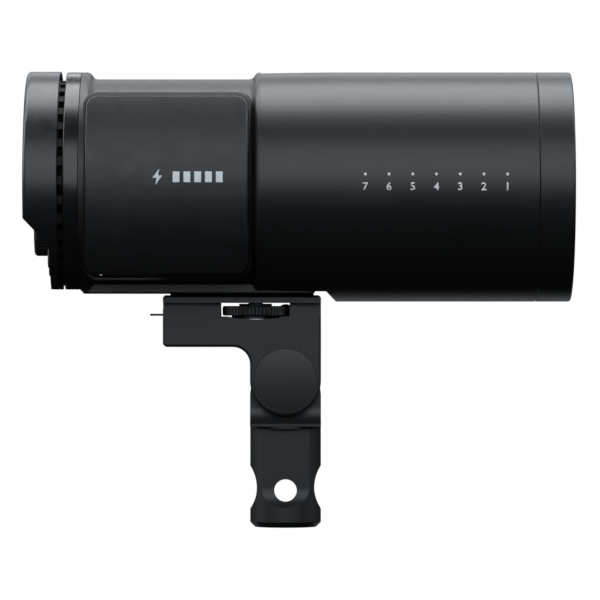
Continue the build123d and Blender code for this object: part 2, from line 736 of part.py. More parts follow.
with BuildPart() as sync_jack:
    with BuildSketch(across(LOWER_X - 0.5)):
        with Locations(JACK_PLACE):
            Circle(JACK_HOLE_R - 0.1)
            Circle(JACK_R, mode=Mode.SUBTRACT)
    extrude(amount=8.0)
    with BuildSketch(across(LOWER_X + CAP_WALL)):
        with Locations(JACK_PLACE):
            Circle(JACK_HOLE_R + 0.2)
            Circle(JACK_R, mode=Mode.SUBTRACT)
    extrude(amount=9.0)
save(sync_jack, "sync_jack")

with BuildPart() as usb_port:
    with BuildSketch(across(LOWER_X + 0.3)):
        with Locations(USB_PLACE):
            RectangleRounded(USB_SIZE[0] + 1.0, USB_SIZE[1] + 1.0, 1.5)
            RectangleRounded(USB_SIZE[0], USB_SIZE[1], 1.2, mode=Mode.SUBTRACT)
    extrude(amount=7.0)
    with BuildSketch(across(LOWER_X + 0.8)):
        with Locations(USB_PLACE):
            Rectangle(USB_SIZE[0] - 2.2, 0.7)
    extrude(amount=6.5)
    with BuildSketch(across(LOWER_X + 7.3)):
        with Locations(USB_PLACE):
            RectangleRounded(USB_SIZE[0] + 1.0, USB_SIZE[1] + 1.0, 1.5)
    extrude(amount=1.0)
save(usb_port, "usb_port")

FAN_SIDE = 42.0
FAN_REL = 10.5
FAN_X = (-98.5, -88.0)
FAN_R = 18.6
HUB_R = 8.0
with BuildPart() as fan_housing:
    with BuildSketch(across(FAN_X[0])):
        with Locations((0, FAN_REL)):
            RectangleRounded(FAN_SIDE, FAN_SIDE, 3.0)
            Circle(FAN_R + 0.8, mode=Mode.SUBTRACT)
            with GridLocations(36, 36, 2, 2):
                Circle(1.8, mode=Mode.SUBTRACT)
    extrude(amount=FAN_X[1] - FAN_X[0])
    with BuildSketch(across(FAN_X[1] - 1.2)):
        with Locations((0, FAN_REL)):
            Circle(HUB_R)
            with PolarLocations(0, 3, start_angle=30):
                with Locations((FAN_R / 2 + 1, 0)):
                    Rectangle(FAN_R + 2, 2.0)
    extrude(amount=1.2)
    with BuildSketch(across(FAN_X[0] + 2)):
        with Locations((0, FAN_REL)):
            Circle(1.0)
    extrude(amount=FAN_X[1] - FAN_X[0] - 2.5)
save(fan_housing, "fan_housing")

FAN_BLADES = 7
BLADE_X = (FAN_X[0] + 0.8, FAN_X[1] - 1.7)
with BuildPart() as fan_rotor:
    with BuildSketch(across(BLADE_X[0])):
        with Locations((0, FAN_REL)):
            Circle(HUB_R)
    extrude(amount=BLADE_X[1] - BLADE_X[0])
    for n in range(FAN_BLADES):
        turn = 2 * pi * n / FAN_BLADES
        blade_plane = Plane((0, 0, AXIS_Z + FAN_REL), x_dir=(1, 0, 0), z_dir=(0, sin(turn), cos(turn)))
        with BuildSketch(blade_plane.offset(HUB_R - 1.0)):
            with Locations(((BLADE_X[0] + BLADE_X[1]) / 2, 0)):
                Rectangle(7.0, 1.0, rotation=40)
        extrude(amount=FAN_R - HUB_R + 0.6)
    with BuildSketch(across(BLADE_X[0] + 1.0)):
        with Locations((0, FAN_REL)):
            Circle(1.05)
    extrude(amount=20, mode=Mode.SUBTRACT)
save(fan_rotor, "fan_rotor")

# ---------------------------------------------------------------- bracket
INNER_FILLET = 7.5
SLOT_TOP = PIVOT_Z + LEG_HALF + 0.35
SCOOP_R = 60.0
GROOVE_HALF = 10.0
BAND_TOP = 95.0
GROOVE_TOP = 97.6
BAND_HALF = 13.5
PLATE_HALF = 14.5
SEAT_DEPTH = 1.2  # of the pivot cap in the near ear
LOWER_BOSS_R = 10.45
LOWER_BOSS_Z = 90.6
UPPER_BOSS_R = 7.15
SCREW_R = 3.175
ARM_SCREW_Y = 7.7  # beside the umbrella channel
SCREW_SINK = 3.2
SCREW_HEAD = (3.5, 2.2)  # radius and height
SHANK_R = 2.0
SHANK_DEPTH = 5.0  # into the arm
ARM_SCREWS = [(x, y) for x in (-33.2, LEG_HALF - 7) for y in (-ARM_SCREW_Y, ARM_SCREW_Y)]

with BuildPart() as bracket_arm:
    with BuildSketch(side_at(0)):
        with BuildLine():
            Polyline(
                (-LEG_HALF, PIVOT_Z),
                (-LEG_HALF, ARM_Z[0]),
                (ARM_BACK, ARM_Z[0]),
                (ARM_BACK, ARM_Z[1]),
                (LEG_HALF, ARM_Z[1]),
                (LEG_HALF, PIVOT_Z),
            )
            ThreePointArc((LEG_HALF, PIVOT_Z), (0, PIVOT_Z - LEG_HALF), (-LEG_HALF, PIVOT_Z))
        make_face()
    extrude(amount=ARM_HALF, both=True)
    upright_edges = bracket_arm.edges().filter_by(Axis.Y)
    inner_corner = upright_edges.filter_by(
        lambda e: abs(e.center().X + LEG_HALF) < 0.1 and e.center().Z > PIVOT_Z + 1
    )
    fillet(inner_corner, radius=INNER_FILLET)
    heel = bracket_arm.edges().filter_by(Axis.Y).filter_by(
        lambda e: abs(e.center().X - ARM_BACK) < 0.1 and e.center().Z < ARM_Z[0] + 1
    )
    fillet(heel, radius=2.0)
    faces = bracket_arm.faces().filter_by(Axis.Y)
    fillet(faces.edges().filter_by(lambda e: e.center().Z < ARM_Z[1] - 0.5), radius=1.2)
    # fork for the tongue
    with BuildSketch(side_at(0)):
        with Locations((0, PIVOT_Z - 20)):
            Rectangle(60, 2 * (SLOT_TOP - PIVOT_Z + 20))
    extrude(amount=EAR_INNER, both=True, mode=Mode.SUBTRACT)
    # tilt bolt, and the seat of the cap that hides its head
    with BuildSketch(side_at(0)):
        with Locations((0, PIVOT_Z)):
            Circle(BOLT_R + 0.05)
    extrude(amount=30, both=True, mode=Mode.SUBTRACT)
    with BuildSketch(side_at(-ARM_HALF)):
        with Locations((0, PIVOT_Z)):
            Circle(CAP_DISC_R + 0.25)
    extrude(amount=-SEAT_DEPTH, mode=Mode.SUBTRACT)
    # umbrella channel
    with Locations(((ARM_BACK + LEG_HALF) / 2, 0, UMBRELLA_Z)):
        Cylinder(UMBRELLA_R, 90, rotation=(0, 90, 0), mode=Mode.SUBTRACT)
    # finger scoop under the wheel, and the recess for its lower boss
    with Locations((WHEEL_X, 0, LOWER_BOSS_Z - 0.2 + SCOOP_R)):
        Cylinder(SCOOP_R, 40, rotation=(90, 0, 0), mode=Mode.SUBTRACT)
    with BuildSketch(upright(WHEEL_X, 0, LOWER_BOSS_Z - 0.4)):
        Circle(LOWER_BOSS_R + GAP)
    extrude(amount=4, mode=Mode.SUBTRACT)
    with BuildSketch(upright(0, 0, ARM_Z[1] - SHANK_DEPTH - 1)):
        with Locations(*ARM_SCREWS):
            Circle(SHANK_R + 0.05)
    extrude(amount=10, mode=Mode.SUBTRACT)
save(bracket_arm, "bracket_arm")

CATCH_X = (-59.1, -42.0)
CATCH_Z = (92.0, 92.9)
CATCH_HALF = 5.0
CATCH_TRAVEL = 3.0
with BuildPart() as mount_plate:
    layers = (
        (ARM_Z[1], BAND_TOP, BAND_HALF),
        (BAND_TOP, GROOVE_TOP, GROOVE_HALF),
        (GROOVE_TOP, PLATE_TOP, PLATE_HALF),
    )
    for low, high, half in layers:
        with BuildSketch(level(low)):
            with Locations(((ARM_BACK + LEG_HALF) / 2, 0)):
                Rectangle(LEG_HALF - ARM_BACK, 2 * half)
        extrude(amount=high - low)
    top_ends = mount_plate.faces().sort_by(Axis.Z)[-1].edges()
    chamfer(top_ends, length=1.0)
    with Locations(((SLOT_X[0] + SLOT_X[1]) / 2, 0, (ARM_Z[1] + GROOVE_TOP) / 2)):
        Box(SLOT_X[1] - SLOT_X[0], 40, GROOVE_TOP - ARM_Z[1], mode=Mode.SUBTRACT)
    with BuildSketch(upright(WHEEL_X, 0, 90)):
        Circle(SCREW_R + 0.4)
    extrude(amount=20, mode=Mode.SUBTRACT)
    # slot for the umbrella catch
    with BuildSketch(level(CATCH_Z[0] - 0.3)):
        with Locations(((ARM_BACK + CATCH_X[1] + CATCH_TRAVEL) / 2 + 0.2, 0)):
            Rectangle(CATCH_X[1] + CATCH_TRAVEL - ARM_BACK + 0.4, 2 * CATCH_HALF + 0.6)
    extrude(amount=CATCH_Z[1] - CATCH_Z[0] + 0.6, mode=Mode.SUBTRACT)
    # screws into the arm, sunk under the pad
    for x, y in ARM_SCREWS:
        with Locations((x, y, PLATE_TOP)):
            CounterBoreHole(SHANK_R + 0.05, SCREW_HEAD[0] + 0.3, SCREW_SINK, depth=20)
    # seat of the rubber pad
    with BuildSketch(level(PLATE_TOP - 0.8)):
        with Locations(((ARM_BACK + LEG_HALF) / 2, 0)):
            RectangleRounded(LEG_HALF - ARM_BACK - 6, 2 * PLATE_HALF - 5, 2.0)
    extrude(amount=2, mode=Mode.SUBTRACT)
save(mount_plate, "mount_plate")

with BuildPart() as mount_pad:
    with BuildSketch(level(PLATE_TOP - 0.8)):
        with Locations(((ARM_BACK + LEG_HALF) / 2, 0)):
            RectangleRounded(LEG_HALF - ARM_BACK - 6.2, 2 * PLATE_HALF - 5.2, 1.9)
        with Locations((WHEEL_X, 0)):
            Circle(INSERT_R + 0.5, mode=Mode.SUBTRACT)
    extrude(amount=PAD_TOP - PLATE_TOP + 0.8)
save(mount_pad, "mount_pad")

HEX_R = 1.7
with BuildPart() as arm_screws:
    for x, y in ARM_SCREWS:
        with BuildSketch(upright(x, y, PLATE_TOP - SCREW_SINK)):
            Circle(SCREW_HEAD[0])
            RegularPolygon(HEX_R, 6, mode=Mode.SUBTRACT)
        extrude(amount=SCREW_HEAD[1])
        with BuildSketch(upright(x, y, ARM_Z[1] - SHANK_DEPTH)):
            Circle(SHANK_R)
        extrude(amount=PLATE_TOP - SCREW_SINK + 0.4 - ARM_Z[1] + SHANK_DEPTH)
save(arm_screws, "arm_screws")

with BuildPart() as umbrella_catch:
    with BuildSketch(level(CATCH_Z[0])):
        with Locations(((CATCH_X[0] + CATCH_X[1]) / 2, 0)):
            RectangleRounded(CATCH_X[1] - CATCH_X[0], 2 * CATCH_HALF, 2.5)
    extrude(amount=CATCH_Z[1] - CATCH_Z[0])
    fillet(umbrella_catch.faces().sort_by(Axis.Z)[-1].edges(), radius=0.25)
save(umbrella_catch, "umbrella_catch")

with BuildPart() as clamp_wheel:
    with BuildSketch(upright(WHEEL_X, 0, WHEEL_Z[0])):
        Circle(WHEEL_R)
    extrude(amount=WHEEL_Z[1] - WHEEL_Z[0])
    chamfer(clamp_wheel.faces().filter_by(Axis.Z).edges(), length=0.5)
    with BuildSketch(upright(WHEEL_X, 0, WHEEL_Z[0])):
        with PolarLocations(WHEEL_R + 0.15, WHEEL_RIBS):
            Rectangle(1.1, 0.75, rotation=45)
    extrude(amount=WHEEL_Z[1] - WHEEL_Z[0], mode=Mode.SUBTRACT)
    with BuildSketch(upright(WHEEL_X, 0, LOWER_BOSS_Z)):
        Circle(LOWER_BOSS_R)
    extrude(amount=WHEEL_Z[0] - LOWER_BOSS_Z)
    with BuildSketch(upright(WHEEL_X, 0, WHEEL_Z[1])):
        Circle(UPPER_BOSS_R)
    extrude(amount=GROOVE_TOP - 0.3 - WHEEL_Z[1])
    with BuildSketch(upright(WHEEL_X, 0, 90)):
        Circle(SCREW_R)
    extrude(amount=20, mode=Mode.SUBTRACT)
save(clamp_wheel, "clamp_wheel")

SCREW_LENGTH = AXIS_Z - 131.2
with BuildPart() as mount_screw:
    with BuildSketch(upright(WHEEL_X, 0, LOWER_BOSS_Z + 0.2)):
        Circle(SCREW_R)
    extrude(amount=SCREW_LENGTH)
    chamfer(mount_screw.faces().sort_by(Axis.Z)[-1].edges(), length=0.6)
save(mount_screw, "mount_screw")

# ---------------------------------------------------------------- tilt joint
WASHER_Y = (TONGUE_HALF + 0.2, EAR_INNER)
WASHER_R = 12.5
with BuildPart() as friction_washers:
    for sign in (-1, 1):
        with BuildSketch(side_at(sign * WASHER_Y[0])):
            with Locations((0, PIVOT_Z)):
                Circle(WASHER_R)
                Circle(BOLT_R + 0.05, mode=Mode.SUBTRACT)
        extrude(amount=-sign * (WASHER_Y[1] - WASHER_Y[0]))
save(friction_washers, "friction_washers")

LEVER_Y = (16.4, 22.0)
BOLT_START = -14.7  # behind the cap
with BuildPart() as tilt_bolt:
    with BuildSketch(side_at(BOLT_START)):
        with Locations((0, PIVOT_Z)):
            Circle(BOLT_R)
    extrude(amount=-(LEVER_Y[1] - 1.0 - BOLT_START))
save(tilt_bolt, "tilt_bolt")

CROWN_HEIGHT = 0.6
CROWN_R = (CAP_DISC_R**2 + CROWN_HEIGHT**2) / (2 * CROWN_HEIGHT)
CROWN_Y = -ARM_HALF - 0.7
with BuildPart() as pivot_cap:
    with BuildSketch(side_at(-ARM_HALF + SEAT_DEPTH)):
        with Locations((0, PIVOT_Z)):
            Circle(CAP_DISC_R)
    extrude(amount=SEAT_DEPTH + 2)
    # slightly domed face
    with Locations((0, CROWN_Y + CROWN_R, PIVOT_Z)):
        Sphere(CROWN_R, mode=Mode.INTERSECT)
save(pivot_cap, "pivot_cap")

LEVER_LENGTH = 33.0
HUB_DISC_R = 11.5
HANDLE_HALF = 4.0
HANDLE_THICK = 3.6
HANDLE_TIP_Z = PIVOT_Z + LEVER_LENGTH - HANDLE_HALF
with BuildPart() as tilt_lever:
    with BuildSketch(side_at(LEVER_Y[0])):
        with Locations((0, PIVOT_Z)):
            Circle(HUB_DISC_R)
    extrude(amount=-(LEVER_Y[1] - LEVER_Y[0]))
    fillet(tilt_lever.faces().sort_by(Axis.Y)[-1].edges(), radius=1.5)
    with BuildSketch(side_at(LEVER_Y[0] + 1.2)):
        with BuildLine():
            Polyline(
                (-HANDLE_HALF - 0.5, PIVOT_Z),
                (-HANDLE_HALF, HANDLE_TIP_Z),
                (HANDLE_HALF, HANDLE_TIP_Z),
                (HANDLE_HALF + 0.5, PIVOT_Z),
                close=True,
            )
        make_face()
        with Locations((0, HANDLE_TIP_Z)):
            Circle(HANDLE_HALF)
    extrude(amount=-HANDLE_THICK)
    with BuildSketch(side_at(LEVER_Y[0] - 1)):
        with Locations((0, PIVOT_Z)):
            Circle(BOLT_R + 0.05)
    extrude(amount=-(LEVER_Y[1] - LEVER_Y[0] + 0.2), mode=Mode.SUBTRACT)
save(tilt_lever, "tilt_lever")

# ---------------------------------------------------------------- stand socket
SHOULDER_HEIGHT = 7.2  # of the hollow shoulder under each ear
SHOULDER_DEPTH = ARM_HALF - TONGUE_HALF
SHOULDER_R = (SHOULDER_HEIGHT**2 + SHOULDER_DEPTH**2) / (2 * SHOULDER_DEPTH)
TONGUE_WIDE_Z = PIVOT_Z - 6  # as wide as the rim below this
RIM_BOTTOM = 44.0  # square rim above the turned bar
BAR_R = 15.8
BAR_CHAMFER = 2.4
FLAT_Z = (17.4, 43.0)
FLAT_RUNOUT = 8.5  # height of the hollow that ends the milled flat
FLAT_DEPTH = BAR_R - FLAT_Y
RUNOUT_R = (FLAT_RUNOUT**2 + FLAT_DEPTH**2) / (2 * FLAT_DEPTH)
SCALLOP_Z = (7.8, 26.8)
SCALLOP_DEEP = 2.9
FOOT_HALF = 15.4

with BuildPart() as socket_block:
    # side outline, with the waist that the scallops leave
    with BuildSketch(side_at(0)):
        with BuildLine():
            Polyline(
                (-LEG_HALF, SCALLOP_Z[1]),
                (-LEG_HALF, RIM_BOTTOM),
                (LEG_HALF, RIM_BOTTOM),
                (LEG_HALF, SCALLOP_Z[1]),
            )
            Polyline((FOOT_HALF, SCALLOP_Z[0]), (FOOT_HALF, 0), (-FOOT_HALF, 0), (-FOOT_HALF, SCALLOP_Z[0]))
            for s in (-1, 1):
                ThreePointArc(
                    (s * LEG_HALF, SCALLOP_Z[1]),
                    (s * (LEG_HALF - SCALLOP_DEEP), CROSS_Z + 1.2),
                    (s * FOOT_HALF, SCALLOP_Z[0]),
                )
        make_face()
    extrude(amount=ARM_HALF, both=True)
    foot = socket_block.edges().filter_by(Axis.Y).filter_by(lambda e: e.center().Z < 0.1)
    fillet(foot, radius=BAR_CHAMFER)
    # the bar is turned
    with BuildSketch(Plane.XZ):
        with BuildLine():
            Polyline(
                (0, 0),
                (BAR_R - BAR_CHAMFER, 0),
                (BAR_R, BAR_CHAMFER),
                (BAR_R, RIM_BOTTOM),
                (0, RIM_BOTTOM),
                close=True,
            )
        make_face()
    revolve(axis=Axis.Z, mode=Mode.INTERSECT)
    # square rim, and a tongue with a round top
    with BuildSketch(level(RIM_BOTTOM)):
        Rectangle(2 * LEG_HALF, 2 * ARM_HALF)
    extrude(amount=SOCKET_TOP - RIM_BOTTOM)
    with BuildSketch(side_at(0)):
        with Locations((0, PIVOT_Z)):
            Circle(TONGUE_R)
        with BuildLine():
            Polyline(
                (-TONGUE_R, PIVOT_Z),
                (-LEG_HALF, TONGUE_WIDE_Z),
                (-LEG_HALF, SOCKET_TOP),
                (LEG_HALF, SOCKET_TOP),
                (LEG_HALF, TONGUE_WIDE_Z),
                (TONGUE_R, PIVOT_Z),
                close=True,
            )
        make_face()
    extrude(amount=TONGUE_HALF, both=True)
    # hollow shoulders under the ears
    for sign in (-1, 1):
        with BuildSketch(Plane((-LEG_HALF, 0, 0), x_dir=(0, 1, 0), z_dir=(1, 0, 0))):
            with BuildLine():
                top = (sign * TONGUE_HALF, SOCKET_TOP + SHOULDER_HEIGHT)
                shoulder = (sign * ARM_HALF, SOCKET_TOP)
                Polyline(top, (sign * TONGUE_HALF, SOCKET_TOP), shoulder)
                RadiusArc(shoulder, top, sign * SHOULDER_R)
            make_face()
        extrude(amount=2 * LEG_HALF)
    # milled flat on each side, running out in a hollow around the cross hole
    for sign in (-1, 1):
        box_cut((-40, 40), sorted((sign * FLAT_Y, sign * 20)), FLAT_Z)
        with Locations((0, sign * (FLAT_Y + RUNOUT_R), FLAT_Z[0])):
            Cylinder(RUNOUT_R, 4 * LEG_HALF, rotation=(0, 90, 0), mode=Mode.SUBTRACT)
    # vertical socket, cross hole and lock screw hole
    with BuildSketch(level(0)):
        Circle(SOCKET_R)
    extrude(amount=SOCKET_DEPTH, mode=Mode.SUBTRACT)
    with BuildSketch(side_at(-ARM_HALF - 1)):
        with Locations((0, CROSS_Z)):
            Circle(CROSS_R)
    extrude(amount=-ARM_HALF - 1, mode=Mode.SUBTRACT)
    with BuildSketch(side_at(0)):
        with Locations((0, CROSS_Z)):
            Circle(CROSS_R + 1.0)
    extrude(amount=-ARM_HALF - 1, mode=Mode.SUBTRACT)
    with BuildSketch(side_at(0)):
        with Locations((0, KNOB_Z)):
            Circle(LOCK_SCREW_R + 0.06)
        with Locations((0, PIVOT_Z)):
            Circle(BOLT_R + 0.06)
    extrude(amount=-ARM_HALF - 1, mode=Mode.SUBTRACT)
    with BuildSketch(side_at(0)):
        with Locations((0, PIVOT_Z)):
            Circle(BOLT_R + 0.06)
    extrude(amount=ARM_HALF + 1, mode=Mode.SUBTRACT)
save(socket_block, "socket_block")

PAD_TIP_Y = (8.4, 10.4)
KNOB_R = 8.6
KNOB_Y = (13.5, 25.0)
KNOB_LOBES = 8
LOBE_CUT_R = 2.4
with BuildPart() as clamp_pad:
    with BuildSketch(side_at(PAD_TIP_Y[0])):
        with Locations((0, KNOB_Z)):
            Circle(LOCK_SCREW_R - 0.05)
    extrude(amount=-(PAD_TIP_Y[1] - PAD_TIP_Y[0]))
save(clamp_pad, "clamp_pad")

with BuildPart() as lock_knob:
    with BuildSketch(side_at(KNOB_Y[0])):
        with Locations((0, KNOB_Z)):
            Circle(KNOB_R)
            with PolarLocations(KNOB_R + 1.6, KNOB_LOBES):
                Circle(LOBE_CUT_R, mode=Mode.SUBTRACT)
    extrude(amount=-(KNOB_Y[1] - KNOB_Y[0]))
    fillet(lock_knob.faces().filter_by(Axis.Y).edges(), radius=0.8)
    with BuildSketch(side_at(PAD_TIP_Y[1] + 0.1)):
        with Locations((0, KNOB_Z)):
            Circle(LOCK_SCREW_R)
    extrude(amount=-(KNOB_Y[0] - PAD_TIP_Y[1]))
save(lock_knob, "lock_knob")
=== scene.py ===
import json
import math

import bmesh
import bpy
from mathutils import Matrix, Vector
from mathutils.bvhtree import BVHTree

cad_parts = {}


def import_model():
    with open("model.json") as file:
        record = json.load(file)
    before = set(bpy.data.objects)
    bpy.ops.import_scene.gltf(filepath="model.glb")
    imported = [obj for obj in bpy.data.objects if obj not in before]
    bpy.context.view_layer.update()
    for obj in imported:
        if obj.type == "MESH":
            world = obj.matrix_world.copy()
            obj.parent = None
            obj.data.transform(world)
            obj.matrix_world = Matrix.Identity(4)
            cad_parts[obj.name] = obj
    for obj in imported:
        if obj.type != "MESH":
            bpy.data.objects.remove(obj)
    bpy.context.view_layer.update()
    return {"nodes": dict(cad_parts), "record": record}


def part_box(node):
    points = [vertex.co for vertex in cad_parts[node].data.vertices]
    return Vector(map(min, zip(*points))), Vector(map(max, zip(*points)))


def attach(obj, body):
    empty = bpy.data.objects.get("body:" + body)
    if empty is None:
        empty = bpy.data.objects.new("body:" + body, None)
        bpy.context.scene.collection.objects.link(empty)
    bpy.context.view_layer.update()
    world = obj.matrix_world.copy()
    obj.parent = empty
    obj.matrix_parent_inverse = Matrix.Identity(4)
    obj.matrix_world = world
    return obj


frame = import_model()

MM = 0.001
NODES = frame["nodes"]

TUBE_LOW, TUBE_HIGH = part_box("front_tube")
AXIS_Z = (TUBE_LOW.z + TUBE_HIGH.z) / 2


# ---------------------------------------------------------------- materials
EDGE_LEAN = (0.02, 0.25)  # lean of the rounded normal, from a face to a sharp edge


class Shader:
    """A Principled material, with short ways to add procedural detail."""

    def __init__(self, name, colour, roughness, metallic=0.0):
        self.material = bpy.data.materials.new(name)
        self.material.use_nodes = True
        self.tree = self.material.node_tree
        self.bsdf = self.tree.nodes["Principled BSDF"]
        self.set("Base Color", (*colour, 1.0))
        self.set("Roughness", roughness)
        self.set("Metallic", metallic)
        self.colour = colour
        self.roughness = roughness
        self.coords = self.add("ShaderNodeTexCoord").outputs["Object"]
        self.normal = None

    def add(self, kind, **values):
        node = self.tree.nodes.new(kind)
        for key, value in values.items():
            setattr(node, key, value)
        return node

    def set(self, socket, value):
        self.bsdf.inputs[socket].default_value = value

    def link(self, source, target):
        self.tree.links.new(source, target)

    def stretched(self, stretch):
        """Object coordinates, in metres, multiplied by stretch along each axis."""
        mapping = self.add("ShaderNodeMapping")
        mapping.inputs["Scale"].default_value = stretch
        self.link(self.coords, mapping.inputs["Vector"])
        return mapping.outputs["Vector"]

    def noise(self, scale, stretch=(1, 1, 1), detail=3.0, rough=0.55):
        """Noise with scale features a metre."""
        node = self.add("ShaderNodeTexNoise")
        node.inputs["Scale"].default_value = scale
        node.inputs["Detail"].default_value = detail
        node.inputs["Roughness"].default_value = rough
        self.link(self.stretched(stretch), node.inputs["Vector"])
        return node.outputs["Fac"]

    def remap(self, value, low, high, out_low, out_high):
        """Maps low..high to out_low..out_high, and clamps what lies outside."""
        node = self.add("ShaderNodeMapRange")
        for socket, number in zip(
            ("From Min", "From Max", "To Min", "To Max"), (low, high, out_low, out_high)
        ):
            node.inputs[socket].default_value = number
        self.link(value, node.inputs["Value"])
        return node.outputs["Result"]

    def vary_roughness(self, source, spread):
        """Spreads the roughness about its own value."""
        self.link(
            self.remap(source, 0.3, 0.7, self.roughness - spread, self.roughness + spread),
            self.bsdf.inputs["Roughness"],
        )

    def bump(self, source, height, strength=1.0):
        """Adds a bump whose height is in metres on top of any earlier one."""
        node = self.add("ShaderNodeBump")
        node.inputs["Strength"].default_value = strength
        node.inputs["Distance"].default_value = height
        self.link(source, node.inputs["Height"])
        if self.normal is not None:
            self.link(self.normal, node.inputs["Normal"])
        self.normal = node.outputs["Normal"]
        self.link(self.normal, self.bsdf.inputs["Normal"])

    def mix_colour(self, factor, other):
        """Mixes another colour over the base colour, or over what was mixed before."""
        node = self.add("ShaderNodeMix", data_type="RGBA")
        linked = self.bsdf.inputs["Base Color"].links
        if linked:
            self.link(linked[0].from_socket, node.inputs["A"])
        else:
            node.inputs["A"].default_value = (*self.colour, 1.0)
        node.inputs["B"].default_value = (*other, 1.0)
        self.link(factor, node.inputs["Factor"])
        self.link(node.outputs["Result"], self.bsdf.inputs["Base Color"])

    def edge_mask(self, radius):
        """1 along sharp edges, 0 on faces, from how far a rounded normal leans."""
        bevel = self.add("ShaderNodeBevel", samples=4)
        bevel.inputs["Radius"].default_value = radius
        geometry = self.add("ShaderNodeNewGeometry")
        dot = self.add("ShaderNodeVectorMath", operation="DOT_PRODUCT")
        self.link(bevel.outputs["Normal"], dot.inputs[0])
        self.link(geometry.outputs["Normal"], dot.inputs[1])
        lean = self.add("ShaderNodeMath", operation="SUBTRACT")
        lean.inputs[0].default_value = 1.0
        self.link(dot.outputs["Value"], lean.inputs[1])
        return self.remap(lean.outputs["Value"], *EDGE_LEAN, 0.0, 1.0)

    def worn_edges(self, radius, colour, amount):
        """Edges made lighter, broken up by noise: partly rubbed wear, partly a painted highlight on the
        edges' rounding.
        """
        broken = self.remap(self.noise(900.0, detail=4.0), 0.35, 0.7, 0.0, amount)
        product = self.add("ShaderNodeMath", operation="MULTIPLY")
        self.link(self.edge_mask(radius), product.inputs[0])
        self.link(broken, product.inputs[1])
        self.mix_colour(product.outputs["Value"], colour)


GRAIN = {"x": (0.06, 1, 1), "turned": (1, 0.15, 0.15)}


def anodised(name, grey, roughness, grain_along):
    """Satin black anodised aluminium with fine grain along X or around it."""
    shader = Shader(name, (grey, grey * 1.01, grey * 1.04), roughness)
    grain = shader.noise(2600.0, GRAIN[grain_along], detail=4.0, rough=0.6)
    shader.vary_roughness(grain, 0.05)
    shader.mix_colour(
        shader.remap(shader.noise(28.0, detail=5.0), 0.35, 0.7, 0.0, 0.35),
        (grey * 1.5, grey * 1.5, grey * 1.55),
    )
    # lighter edges: some wear, and a painted highlight where the rounded edges would catch light
    shader.worn_edges(0.25 * MM, (0.11, 0.11, 0.115), 0.5)
    shader.bump(grain, 0.012 * MM, 0.6)
    return shader.material


def polymer(name, grey, roughness, pitch=0.35, height=0.03):
    """Moulded polymer with a fine grain, whose pitch and height are in millimetres."""
    shader = Shader(name, (grey, grey * 1.01, grey * 1.05), roughness)
    grain = shader.noise(1.0 / (pitch * MM), detail=2.0)
    shader.vary_roughness(shader.noise(160.0, detail=3.0), 0.04)
    shader.mix_colour(
        shader.remap(shader.noise(45.0, detail=5.0), 0.4, 0.75, 0.0, 0.4),
        (grey * 1.6, grey * 1.6, grey * 1.65),
    )
    shader.bump(grain, height * MM, 0.5)
    return shader.material


RUBBER_ROUGHNESS = 0.72
TARNISH = 0.6


def rubber(name, grey=0.018):
    """Matt rubber with a fine pebbled skin."""
    shader = Shader(name, (grey,) * 3, RUBBER_ROUGHNESS)
    shader.vary_roughness(shader.noise(300.0), 0.08)
    shader.bump(shader.noise(3200.0, detail=2.0), 0.03 * MM, 0.6)
    return shader.material


def bare_metal(name, colour, roughness, stretch=(1, 1, 1)):
    """Machined metal, darker in patches."""
    shader = Shader(name, colour, roughness, 1.0)
    grain = shader.noise(1800.0, stretch, detail=4.0)
    shader.vary_roughness(grain, 0.1)
    shader.mix_colour(
        shader.remap(shader.noise(90.0, detail=5.0), 0.4, 0.75, 0.0, 0.6),
        tuple(c * TARNISH for c in colour),
    )
    shader.bump(grain, 0.01 * MM, 0.5)
    return shader.material


def sleeve(name, colour):
    """Shrink-wrapped film with faint wrinkles."""
    shader = Shader(name, colour, 0.3)
    shader.vary_roughness(shader.noise(120.0), 0.1)
    shader.bump(shader.noise(160.0, (0.3, 1, 1), detail=4.0), 0.2 * MM, 0.4)
    shader.set("Coat Weight", 0.4)
    return shader.material


def frosted_glass(name):
    """Milky front glass."""
    shader = Shader(name, (0.92, 0.94, 0.94), 0.32)
    shader.set("Transmission Weight", 1.0)
    shader.set("IOR", 1.47)
    shader.bump(shader.noise(1300.0, detail=1.0), 0.03 * MM, 0.5)
    shader.vary_roughness(shader.noise(240.0), 0.06)
    return shader.material


def clear_glass(name):
    """Quartz of the flash tube."""
    shader = Shader(name, (0.97, 0.98, 0.98), 0.03)
    shader.set("Transmission Weight", 1.0)
    shader.set("IOR", 1.46)
    shader.vary_roughness(shader.noise(60.0), 0.02)
    return shader.material


def dark_glass(name):
    """Smoked cover glass of the display, with a faint haze."""
    shader = Shader(name, (0.006, 0.0065, 0.008), 0.07)
    shader.set("Coat Weight", 1.0)
    shader.set("Coat Roughness", 0.03)
    shader.vary_roughness(shader.noise(70.0, detail=5.0), 0.05)
    return shader.material


def circuit_board(name):
    """Green solder mask over a fine pattern of tracks."""
    shader = Shader(name, (0.012, 0.1, 0.05), 0.35)
    bricks = shader.add("ShaderNodeTexBrick")
    bricks.inputs["Scale"].default_value = 900.0
    bricks.inputs["Mortar Size"].default_value = 0.012
    shader.link(shader.coords, bricks.inputs["Vector"])
    shader.mix_colour(shader.remap(bricks.outputs["Fac"], 0, 1, 0.0, 0.8), (0.03, 0.2, 0.09))
    shader.vary_roughness(shader.noise(200.0), 0.08)
    shader.bump(bricks.outputs["Fac"], 0.03 * MM, 0.5)
    return shader.material


def hammered_reflector(name):
    """Bright reflector with small dimples."""
    shader = Shader(name, (0.9, 0.9, 0.91), 0.16, 1.0)
    cells = shader.add("ShaderNodeTexVoronoi", feature="SMOOTH_F1")
    cells.inputs["Scale"].default_value = 420.0
    shader.link(shader.coords, cells.inputs["Vector"])
    shader.bump(cells.outputs["Distance"], 0.5 * MM, 0.5)
    shader.vary_roughness(shader.noise(140.0), 0.05)
    return shader.material


